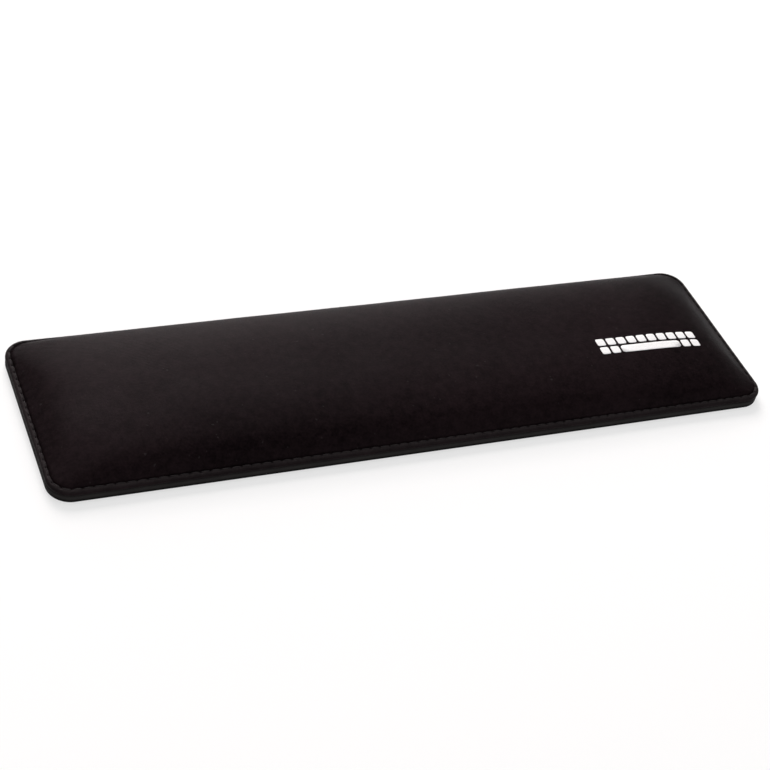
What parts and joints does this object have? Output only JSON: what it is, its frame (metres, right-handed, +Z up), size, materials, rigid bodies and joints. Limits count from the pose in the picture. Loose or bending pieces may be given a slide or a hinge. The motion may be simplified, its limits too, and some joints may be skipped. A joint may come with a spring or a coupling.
{
  "type": "keyboard wrist rest",
  "caption": "Slim padded keyboard wrist rest: crowned fabric pillow with a topstitched flange on a flat rubber base, with a small plain white print.",
  "frame": {"origin": "centre of the rubber base's underside, on the desk", "axes": "+X along the rest's length to the right, +Y across it away from the sitter and towards the keyboard, +Z up"},
  "size_m": [0.36, 0.1, 0.0191],
  "materials": {
    "rubber": "matt moulded natural rubber",
    "bonding_film": "thin dark bonding film",
    "board": "plain black board",
    "foam": "moulded soft foam",
    "cover_fabric": "smooth black stretch fabric with a soft sheen",
    "thread": "black sewing thread",
    "white_ink": "matt white transfer print"
  },
  "bodies": {
    "root": {"rubber_base": "rubber", "bonding_film": "bonding_film", "stiffener_board": "board", "foam_core": "foam", "top_cover": "cover_fabric", "needle_thread": "thread", "bobbin_thread": "thread", "printed_mark": "white_ink"}
  },
  "joints": []
}
